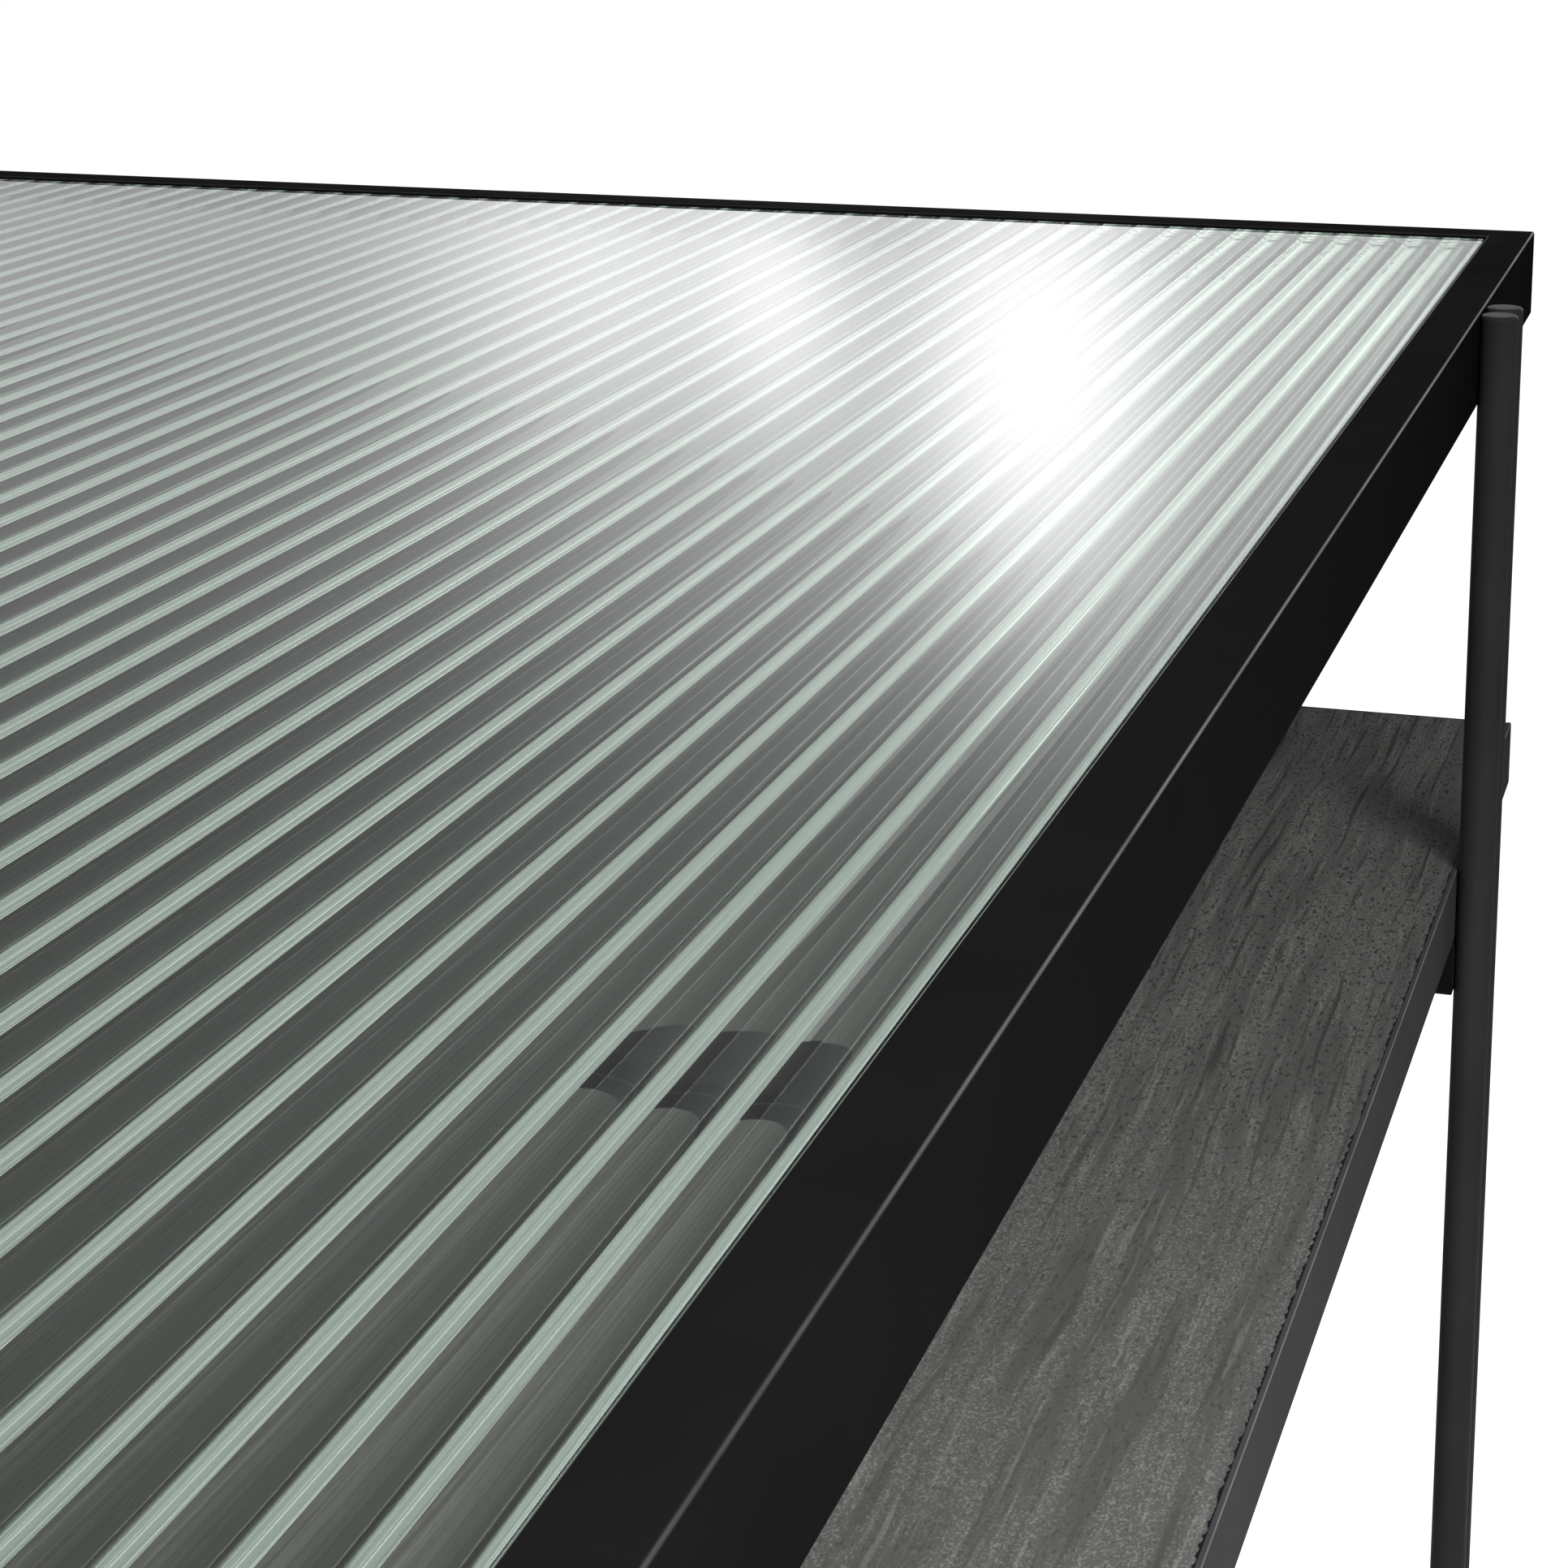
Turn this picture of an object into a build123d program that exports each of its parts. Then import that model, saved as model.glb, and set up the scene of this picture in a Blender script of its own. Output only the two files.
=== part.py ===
"""Low table: a ribbed glass pane in a rectangular-tube frame on paired rod legs, with a wood-grain shelf.

The origin is on the floor under the middle of the table. +X runs along the table's length, the way the
glass ribs run, +Y runs across it and +Z is up. Every size is in millimetres.
"""

import os
from build123d import *

# Overall size of the top frame.
TABLE_LENGTH = 1400.0
TABLE_WIDTH = 600.0
TABLE_HEIGHT = 450.0

# Top frame: rectangular steel tube standing on edge, mitred at the corners.
RAIL_WIDTH = 13.0
RAIL_HEIGHT = 26.0
TUBE_WALL = 1.2
TUBE_EDGE_RADIUS = 0.8

# Ribbed glass pane, flat above and reeded below.
PANE_THICKNESS = 6.0
PANE_RECESS = 1.0
PANE_EDGE_GAP = 0.5
PANE_SEAT_GAP = 0.3
RIB_PITCH = 10.6
RIB_DEPTH = 1.4

# Glass supports: tabs inside the long rails, near each end and at the middle, each with a soft pad.
SUPPORT_FROM_END = 55.0
TAB_REACH = 35.0
TAB_WIDTH = 20.0
TAB_THICKNESS = 3.0
PAD_THICKNESS = 1.5
PAD_MARGIN = 2.0
PAD_LENGTH = 24.0

# Leg rods: two at each leg, one behind the other along the long rail's outer face.
ROD_DIAMETER = 10.0
ROD_GAP = 3.0
ROD_TOP_DROP = 0.6
ROD_TOP_RADIUS = 1.0
LEG_FROM_END = 146.0

# Foot caps: plastic cups on the rod ends.
CAP_WALL = 1.1
CAP_FLOOR = 3.0
CAP_HEIGHT = 12.0
CAP_EDGE = 0.8
CAP_FIT = 0.05

# Weld beads in the groove between the two rods of a leg.
WELD_DEPTH = 2.5
WELD_END_MARGIN = 3.0

# Shelf: faced board with a glued band round its edge.
SHELF_THICKNESS = 20.0
SHELF_DROP = 156.6
SHELF_END_SETBACK = 4.0
SHELF_ROD_GAP = 0.2
BAND_THICKNESS = 1.2
BAND_ARRIS = 0.4

# Crossbars: rectangular tube laid flat under the shelf, from leg to leg.
CROSSBAR_WIDTH = 25.0
CROSSBAR_HEIGHT = 15.0

# Plastic inserts that close the crossbar ends.
INSERT_DEPTH = 12.0
INSERT_FACE = 1.0
INSERT_FIT = 0.05

# Shelf screws: pan heads below the crossbars, shanks up into the board.
SCREW_DIAMETER = 4.0
SCREW_HEAD_DIAMETER = 8.0
SCREW_HEAD_HEIGHT = 3.0
SCREW_BITE = 13.0
SCREW_TIP_GAP = 1.0
SCREW_FROM_SIDE = 90.0
SCREW_HOLE_GAP = 0.25
SCREW_THREAD_GAP = 0.02
SCREW_RECESS_DIAMETER = 4.2
SCREW_RECESS_DEPTH = 1.6
SCREW_HEAD_EDGE = 0.9

# Vent plugs: domed plugs in the vent holes under the long rails.
PLUG_FROM_END = 181.0
PLUG_SIDE_MARGIN = 0.5
PLUG_DOME = 1.6
PLUG_STEM_DIAMETER = 8.0
PLUG_STEM_LENGTH = 5.0
PLUG_FIT = 0.05

# Levels and places worked out from the sizes above.
rail_base = TABLE_HEIGHT - RAIL_HEIGHT
pane_top = TABLE_HEIGHT - PANE_RECESS
pane_base = pane_top - PANE_THICKNESS
pane_length = TABLE_LENGTH - 2 * (RAIL_WIDTH + PANE_EDGE_GAP)
pane_width = TABLE_WIDTH - 2 * (RAIL_WIDTH + PANE_EDGE_GAP)
rib_count = round(pane_width / RIB_PITCH)
rib_width = pane_width / rib_count

pad_top = pane_base - PANE_SEAT_GAP
tab_top = pad_top - PAD_THICKNESS
support_x = TABLE_LENGTH / 2 - SUPPORT_FROM_END

rod_radius = ROD_DIAMETER / 2
rod_spacing = ROD_DIAMETER + ROD_GAP
rod_axis_y = TABLE_WIDTH / 2 + rod_radius
rod_top = TABLE_HEIGHT - ROD_TOP_DROP
leg_x = TABLE_LENGTH / 2 - LEG_FROM_END

shelf_top = TABLE_HEIGHT - SHELF_DROP
shelf_base = shelf_top - SHELF_THICKNESS
shelf_length = TABLE_LENGTH - 2 * SHELF_END_SETBACK
shelf_width = TABLE_WIDTH - 2 * SHELF_ROD_GAP
board_length = shelf_length - 2 * BAND_THICKNESS
board_width = shelf_width - 2 * BAND_THICKNESS

crossbar_base = shelf_base - CROSSBAR_HEIGHT
screw_y = TABLE_WIDTH / 2 - SCREW_FROM_SIDE
plug_x = TABLE_LENGTH / 2 - PLUG_FROM_END
plug_y = TABLE_WIDTH / 2 - RAIL_WIDTH / 2
plug_radius = RAIL_WIDTH / 2 - PLUG_SIDE_MARGIN

ENDS = {"left": -1, "right": 1}
SIDES = {"front": -1, "back": 1}
SUPPORT_PLACES = {"left": -1, "middle": 0, "right": 1}


def export_piece(piece, name):
    """Labels a finished piece and writes it under its own name."""
    piece.part.label = name
    export_step(piece.part, f"parts/{name}.step")


def tube_section(width, height):
    """Sketches a rectangular tube's section in the open sketch."""
    RectangleRounded(width, height, TUBE_EDGE_RADIUS)
    Rectangle(width - 2 * TUBE_WALL, height - 2 * TUBE_WALL, mode=Mode.SUBTRACT)


def mitred_rail(along, outward, length, half_span, vents=()):
    """Makes one rail of the top frame, mitred where it meets its neighbours and drilled at its vents."""
    rail_y = half_span - RAIL_WIDTH / 2
    start = outward * rail_y - along * (length / 2) + Vector(0, 0, rail_base + RAIL_HEIGHT / 2)
    with BuildPart() as rail:
        with BuildSketch(Plane(origin=start, x_dir=outward, z_dir=along)):
            tube_section(RAIL_WIDTH, RAIL_HEIGHT)
        extrude(amount=length)
        for end in (-1, 1):
            corner = outward * half_span + along * (end * length / 2)
            mitre = Plane(origin=corner, z_dir=along * end - outward)
            split(bisect_by=mitre, keep=Keep.BOTTOM)
        for vent in vents:
            centre = outward * rail_y + along * vent + Vector(0, 0, rail_base)
            with BuildSketch(Plane(origin=centre)):
                Circle(PLUG_STEM_DIAMETER / 2 + PLUG_FIT)
            extrude(amount=TUBE_WALL, mode=Mode.SUBTRACT)
    return rail


def glass_pane():
    """Makes the pane: a flat top, square edges and a row of round reeds along its underside."""
    valley = pane_base + RIB_DEPTH
    half = pane_width / 2
    with BuildPart() as pane:
        with BuildSketch(Plane.YZ.offset(-pane_length / 2)):
            with BuildLine():
                Polyline((-half, valley), (-half, pane_top), (half, pane_top), (half, valley))
                for rib in range(rib_count):
                    left = rib * rib_width - half
                    crest = (left + rib_width / 2, pane_base)
                    ThreePointArc((left, valley), crest, (left + rib_width, valley))
            make_face()
        extrude(amount=pane_length)
    return pane


def tongue(root, side, reach, width, base, thickness):
    """Makes a flat tongue with a half-round tip that reaches from root towards the table's middle."""
    inward = -side
    straight = reach - width / 2
    with BuildPart() as piece:
        with BuildSketch(Plane(origin=(root.X, root.Y, base))):
            with Locations((0, inward * straight / 2)):
                Rectangle(width, straight)
            with Locations((0, inward * straight)):
                Circle(width / 2)
        extrude(amount=thickness)
    return piece


def support_tab(place, side):
    """Makes a glass support: a steel tab welded to the inner face of a long rail."""
    root = Vector(place * support_x, side * (TABLE_WIDTH / 2 - RAIL_WIDTH))
    return tongue(root, side, TAB_REACH, TAB_WIDTH, tab_top - TAB_THICKNESS, TAB_THICKNESS)


def support_pad(place, side):
    """Makes the soft pad on a glass support, set in from the tab's edge."""
    tip_y = TABLE_WIDTH / 2 - RAIL_WIDTH - TAB_REACH + PAD_MARGIN
    root = Vector(place * support_x, side * (tip_y + PAD_LENGTH))
    return tongue(root, side, PAD_LENGTH, TAB_WIDTH - 2 * PAD_MARGIN, tab_top, PAD_THICKNESS)


def rod_centre(end, side, place):
    """Gives the X and Y of a rod, inner or outer, of the leg at that end and side."""
    step = rod_spacing / 2 if place == "outer" else -rod_spacing / 2
    return end * (leg_x + step), side * rod_axis_y


def leg_rod(end, side, place):
    """Makes one solid rod with its top edge rounded over."""
    with BuildPart() as rod:
        with BuildSketch(Plane.XY.offset(CAP_FLOOR)):
            with Locations(rod_centre(end, side, place)):
                Circle(rod_radius)
        extrude(amount=rod_top - CAP_FLOOR)
        fillet(rod.faces().sort_by(Axis.Z)[-1].edges(), radius=ROD_TOP_RADIUS)
    return rod


def foot_cap(end, side, place):
    """Makes the plastic cup that a rod stands in."""
    bore = rod_radius + CAP_FIT
    with BuildPart() as cap:
        with BuildSketch():
            with Locations(rod_centre(end, side, place)):
                Circle(bore + CAP_WALL)
        extrude(amount=CAP_HEIGHT)
        with BuildSketch(Plane.XY.offset(CAP_FLOOR)):
            with Locations(rod_centre(end, side, place)):
                Circle(bore)
        extrude(amount=CAP_HEIGHT - CAP_FLOOR, mode=Mode.SUBTRACT)
        fillet(cap.faces().sort_by(Axis.Z)[0].edges(), radius=CAP_EDGE)
    return cap


def leg_weld(end, side, tube_base, tube_height):
    """Makes the bead that fills the groove between a leg's two rods and the tube they stand against."""
    face_y = side * TABLE_WIDTH / 2
    with BuildPart() as weld:
        with BuildSketch(Plane.XY.offset(tube_base + WELD_END_MARGIN)):
            with Locations((end * leg_x, face_y + side * WELD_DEPTH / 2)):
                Rectangle(rod_spacing, WELD_DEPTH)
            for place in ("inner", "outer"):
                with Locations(rod_centre(end, side, place)):
                    Circle(rod_radius, mode=Mode.SUBTRACT)
        extrude(amount=tube_height - 2 * WELD_END_MARGIN)
    return weld


def crossbar(end):
    """Makes the flat tube under the shelf, drilled through for its screws."""
    start = Vector(end * leg_x, -TABLE_WIDTH / 2, crossbar_base + CROSSBAR_HEIGHT / 2)
    with BuildPart() as bar:
        with BuildSketch(Plane(origin=start, x_dir=(1, 0, 0), z_dir=(0, 1, 0))):
            tube_section(CROSSBAR_WIDTH, CROSSBAR_HEIGHT)
        extrude(amount=TABLE_WIDTH)
        with BuildSketch(Plane.XY.offset(crossbar_base)):
            with Locations((end * leg_x, 0)):
                with GridLocations(0, 2 * screw_y, 1, 2):
                    Circle(SCREW_DIAMETER / 2 + SCREW_HOLE_GAP)
        extrude(amount=CROSSBAR_HEIGHT, mode=Mode.SUBTRACT)
    return bar


def crossbar_insert(end, side):
    """Makes the plug pushed into a crossbar's open end: a hollow box, closed at its outer face."""
    width = CROSSBAR_WIDTH - 2 * (TUBE_WALL + INSERT_FIT)
    height = CROSSBAR_HEIGHT - 2 * (TUBE_WALL + INSERT_FIT)
    mouth = Vector(end * leg_x, side * TABLE_WIDTH / 2, crossbar_base + CROSSBAR_HEIGHT / 2)
    with BuildPart() as insert:
        with BuildSketch(Plane(origin=mouth, x_dir=(1, 0, 0), z_dir=(0, -side, 0))):
            Rectangle(width, height)
        extrude(amount=INSERT_DEPTH)
        offset(amount=-INSERT_FACE, openings=insert.faces().sort_by(Axis.Y)[0 if side > 0 else -1])
    return insert


def shelf_board():
    """Makes the shelf's faced board, with blind holes for its screws."""
    with BuildPart() as board:
        with BuildSketch(Plane.XY.offset(shelf_base)):
            Rectangle(board_length, board_width)
        extrude(amount=SHELF_THICKNESS)
        with BuildSketch(Plane.XY.offset(shelf_base)):
            with GridLocations(2 * leg_x, 2 * screw_y, 2, 2):
                Circle(SCREW_DIAMETER / 2 + SCREW_THREAD_GAP)
        extrude(amount=SCREW_BITE, mode=Mode.SUBTRACT)
    return board


def edge_band(centre, size_x, size_y):
    """Makes one edge band, its outer arrises eased by scraping."""
    with BuildPart() as band:
        with BuildSketch(Plane.XY.offset(shelf_base)):
            with Locations(centre):
                Rectangle(size_x, size_y)
        extrude(amount=SHELF_THICKNESS)
        outer = Axis.Y if size_x > size_y else Axis.X
        outer_face = band.faces().sort_by(outer)[-1 if sum(centre) > 0 else 0]
        long_edges = outer_face.edges().filter_by(Axis.Z, reverse=True)
        chamfer(long_edges, length=BAND_ARRIS)
    return band


def shelf_screws():
    """Makes the screws that hold the shelf, one group of separate solids."""
    head_top = crossbar_base
    with BuildPart() as screws:
        with BuildSketch(Plane.XY.offset(head_top - SCREW_HEAD_HEIGHT)):
            with GridLocations(2 * leg_x, 2 * screw_y, 2, 2):
                Circle(SCREW_HEAD_DIAMETER / 2)
        extrude(amount=SCREW_HEAD_HEIGHT)
        undersides = screws.faces().group_by(Axis.Z)[0]
        fillet(undersides.edges(), radius=SCREW_HEAD_EDGE)
        with BuildSketch(Plane.XY.offset(head_top)):
            with GridLocations(2 * leg_x, 2 * screw_y, 2, 2):
                Circle(SCREW_DIAMETER / 2)
        extrude(amount=CROSSBAR_HEIGHT + SCREW_BITE - SCREW_TIP_GAP)
        with BuildSketch(Plane.XY.offset(head_top - SCREW_HEAD_HEIGHT)):
            with GridLocations(2 * leg_x, 2 * screw_y, 2, 2):
                RegularPolygon(SCREW_RECESS_DIAMETER / 2, 6)
        extrude(amount=SCREW_RECESS_DEPTH, mode=Mode.SUBTRACT)
    return screws


def vent_plugs():
    """Makes the domed plugs under the long rails, one group of separate solids."""
    stem = PLUG_STEM_DIAMETER / 2
    stem_end = PLUG_STEM_LENGTH
    dome_radius = (plug_radius * plug_radius + PLUG_DOME * PLUG_DOME) / (2 * PLUG_DOME)
    corners = ((0, -PLUG_DOME), (0, stem_end), (stem, stem_end), (stem, 0), (plug_radius, 0))
    with BuildPart() as plugs:
        for end in ENDS.values():
            for side in SIDES.values():
                foot = (end * plug_x, side * plug_y, rail_base)
                with BuildSketch(Plane(origin=foot, x_dir=(1, 0, 0), z_dir=(0, -1, 0))):
                    with BuildLine():
                        Polyline(*corners)
                        RadiusArc(corners[-1], corners[0], dome_radius)
                    make_face()
                revolve(axis=Axis(foot, (0, 0, 1)))
    return plugs


def make_top_frame():
    """Writes the four rails of the top frame."""
    along_x = Vector(1, 0, 0)
    along_y = Vector(0, 1, 0)
    for side_name, side in SIDES.items():
        rail = mitred_rail(along_x, along_y * side, TABLE_LENGTH, TABLE_WIDTH / 2, (-plug_x, plug_x))
        export_piece(rail, f"long_rail_{side_name}")
    for end_name, end in ENDS.items():
        rail = mitred_rail(along_y, along_x * end, TABLE_WIDTH, TABLE_LENGTH / 2)
        export_piece(rail, f"end_rail_{end_name}")
    export_piece(vent_plugs(), "rail_vent_plugs")


def make_glass():
    """Writes the pane and the supports that it rests on."""
    export_piece(glass_pane(), "glass_pane")
    for place_name, place in SUPPORT_PLACES.items():
        for side_name, side in SIDES.items():
            spot = f"{side_name}_{place_name}"
            export_piece(support_tab(place, side), f"glass_support_tab_{spot}")
            export_piece(support_pad(place, side), f"glass_support_pad_{spot}")


def make_legs():
    """Writes the rods, their foot caps and the beads between them."""
    for end_name, end in ENDS.items():
        for side_name, side in SIDES.items():
            corner = f"{side_name}_{end_name}"
            for place in ("inner", "outer"):
                export_piece(leg_rod(end, side, place), f"leg_rod_{corner}_{place}")
                export_piece(foot_cap(end, side, place), f"foot_cap_{corner}_{place}")
            export_piece(leg_weld(end, side, rail_base, RAIL_HEIGHT), f"rail_weld_{corner}")
            export_piece(leg_weld(end, side, crossbar_base, CROSSBAR_HEIGHT), f"crossbar_weld_{corner}")


def make_shelf():
    """Writes the shelf, its edge bands, the crossbars under it and its screws."""
    export_piece(shelf_board(), "shelf_board")
    for side_name, side in SIDES.items():
        centre = (0, side * (shelf_width - BAND_THICKNESS) / 2)
        export_piece(edge_band(centre, shelf_length, BAND_THICKNESS), f"shelf_edge_band_{side_name}")
    for end_name, end in ENDS.items():
        centre = (end * (shelf_length - BAND_THICKNESS) / 2, 0)
        export_piece(edge_band(centre, BAND_THICKNESS, board_width), f"shelf_edge_band_{end_name}")
        export_piece(crossbar(end), f"shelf_crossbar_{end_name}")
        for side_name, side in SIDES.items():
            export_piece(crossbar_insert(end, side), f"crossbar_insert_{side_name}_{end_name}")
    export_piece(shelf_screws(), "shelf_screws")


os.makedirs("parts", exist_ok=True)
make_top_frame()
make_glass()
make_legs()
make_shelf()
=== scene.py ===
"""Low table with a ribbed glass top: the shape and finish of every piece, laid over the fixed frame."""

import logging
import math
from collections.abc import Iterable, Sequence
from dataclasses import dataclass
from enum import Enum

import bmesh
import bpy
from bmesh.types import BMEdge, BMesh, BMFace, BMVert
from bpy.types import Material, Node
from bpy.types import NodeSocket as Socket
from bpy.types import NodeTree as Tree
from mathutils import Matrix, Vector


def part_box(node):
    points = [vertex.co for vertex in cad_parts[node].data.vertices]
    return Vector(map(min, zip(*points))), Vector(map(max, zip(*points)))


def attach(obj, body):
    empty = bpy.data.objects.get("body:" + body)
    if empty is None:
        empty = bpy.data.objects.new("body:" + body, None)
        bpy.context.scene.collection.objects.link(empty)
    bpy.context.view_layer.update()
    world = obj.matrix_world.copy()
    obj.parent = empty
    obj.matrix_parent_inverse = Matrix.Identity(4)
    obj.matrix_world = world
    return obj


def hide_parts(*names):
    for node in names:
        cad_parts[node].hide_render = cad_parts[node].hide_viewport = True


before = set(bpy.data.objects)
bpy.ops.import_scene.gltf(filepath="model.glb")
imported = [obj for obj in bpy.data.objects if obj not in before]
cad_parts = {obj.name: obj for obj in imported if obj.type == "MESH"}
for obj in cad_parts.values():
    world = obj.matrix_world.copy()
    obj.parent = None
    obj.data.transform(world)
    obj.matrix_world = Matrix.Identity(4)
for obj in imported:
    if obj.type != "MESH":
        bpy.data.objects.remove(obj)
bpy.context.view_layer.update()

log = logging.getLogger("table")

MM = 0.001
TOUCHING = 0.01 * MM  # places closer than this count as one
DOUBLE = 0.005 * MM  # vertices closer than this are merged
HAIR = 0.001 * MM  # the same, where a piece has very fine parts
SQUARE = 0.99  # a normal's share along an axis, past which a face counts as square to it
CREASE_DEGREES = 32.0

Colour = tuple[float, float, float, float]
Value = float | Socket
Tone = Colour | Socket


class End(Enum):
    """The two ends of the table, by the sign of X."""

    LEFT = -1
    RIGHT = 1


class Side(Enum):
    """The two long sides of the table, by the sign of Y."""

    FRONT = -1
    BACK = 1


class Place(Enum):
    """Which rod of a leg: the one nearer the table's middle or the one nearer its end."""

    INNER = "inner"
    OUTER = "outer"


class Support(Enum):
    """Where along a long rail a glass support is welded."""

    LEFT = "left"
    MIDDLE = "middle"
    RIGHT = "right"


class Slot(Enum):
    """The record's material slots."""

    POWDER_COAT = "black_powder_coat"
    GLASS = "ribbed_glass"
    WOOD = "charcoal_wood"
    EDGE_BAND = "charcoal_edge_band"
    PLASTIC = "black_plastic"
    SILICONE = "black_silicone"
    SCREW = "black_zinc"


class Body(Enum):
    """The bodies that pieces ride on."""

    TABLE = "table"
    GLASS = "glass_top"


# --- Node helpers and shared effects ---


def grey(level: float) -> Colour:
    """Gives a neutral colour of that level."""
    return (level, level, level, 1.0)


def fill(tree: Tree, node: Node, values: dict[str | int, object]) -> None:
    """Sets or links a node's inputs.

    Args:
        tree: The node's tree.
        node: The node.
        values: Input names or numbers to values, or to output sockets that are linked to them.
    """
    for key, value in values.items():
        if isinstance(value, Socket):
            tree.links.new(value, node.inputs[key])
        else:
            node.inputs[key].default_value = value


def add_node(tree: Tree, kind: str, values: dict | None = None, **settings: object) -> Node:
    """Adds a node to a tree.

    Args:
        tree: The node tree.
        kind: The node's type, without the word that all types start with.
        values: Its inputs, as fill takes them.
        **settings: Properties of the node itself.

    Returns:
        The new node.
    """
    node = tree.nodes.new(f"ShaderNode{kind}")
    for name, value in settings.items():
        setattr(node, name, value)
    fill(tree, node, values or {})
    return node


def place_group(tree: Tree, group: Tree, values: dict) -> Node:
    """Places a shared effect in a material with the material's own values.

    Args:
        tree: The material's tree.
        group: The effect.
        values: Its inputs, as fill takes them.

    Returns:
        The effect's node.
    """
    node = tree.nodes.new("ShaderNodeGroup")
    node.node_tree = group
    fill(tree, node, values)
    return node


def calc(tree: Tree, operation: str, *values: Value, clamp: bool = False) -> Socket:
    """Adds one sum on numbers or sockets and gives its result."""
    node = add_node(tree, "Math", dict(enumerate(values)), operation=operation, use_clamp=clamp)
    return node.outputs[0]


def ramp(
    tree: Tree, value: Socket, start: float, stop: float, low: Value = 0.0, high: Value = 1.0
) -> Socket:
    """Maps a value smoothly from the span start to stop onto low to high, and holds it beyond the ends."""
    values = {"Value": value, "From Min": start, "From Max": stop, "To Min": low, "To Max": high}
    return add_node(tree, "MapRange", values, interpolation_type="SMOOTHSTEP").outputs[0]


def tint(tree: Tree, factor: Value, first: Tone, second: Tone) -> Socket:
    """Mixes two colours, each a value or a socket, and gives the result."""
    return add_node(tree, "Mix", {"Factor": factor, 6: first, 7: second}, data_type="RGBA").outputs[2]


def cloud(
    tree: Tree,
    place: Socket,
    scale: Sequence[float],
    detail: float = 2.0,
    offset: Sequence[float] = (0.0, 0.0, 0.0),
) -> Socket:
    """Adds noise whose cells per metre differ along each axis.

    Args:
        tree: The node tree.
        place: The coordinates.
        scale: Cells per metre along X, Y and Z.
        detail: How many finer layers it has.
        offset: A shift, so that two clouds differ.

    Returns:
        The noise, near one half.
    """
    mapped = add_node(tree, "Mapping", {"Vector": place, "Scale": scale, "Location": offset}).outputs[0]
    return add_node(tree, "TexNoise", {"Vector": mapped, "Scale": 1.0, "Detail": detail}).outputs[0]


@dataclass(frozen=True)
class Marks:
    """One kind of mark on a surface: noise that is cut off smoothly between two of its levels."""

    cells: Sequence[float]
    start: float
    stop: float
    detail: float = 3.0
    offset: Sequence[float] = (0.0, 0.0, 0.0)

    def mask(self, tree: Tree, place: Socket) -> Socket:
        """Builds the marks' mask."""
        return ramp(tree, cloud(tree, place, self.cells, self.detail, self.offset), self.start, self.stop)


def start_group(name: str, inputs: dict[str, str], outputs: dict[str, str]) -> tuple:
    """Makes an empty node group with named sockets.

    Args:
        name: The group's name.
        inputs: Input names to the last word of their socket types.
        outputs: Output names, likewise.

    Returns:
        The group, its inputs as sockets to read, and its output node's sockets to fill.
    """
    group = bpy.data.node_groups.new(name, "ShaderNodeTree")
    for way, sockets in (("INPUT", inputs), ("OUTPUT", outputs)):
        for label, kind in sockets.items():
            group.interface.new_socket(label, in_out=way, socket_type=f"NodeSocket{kind}")
    return group, group.nodes.new("NodeGroupInput").outputs, group.nodes.new("NodeGroupOutput")


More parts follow.
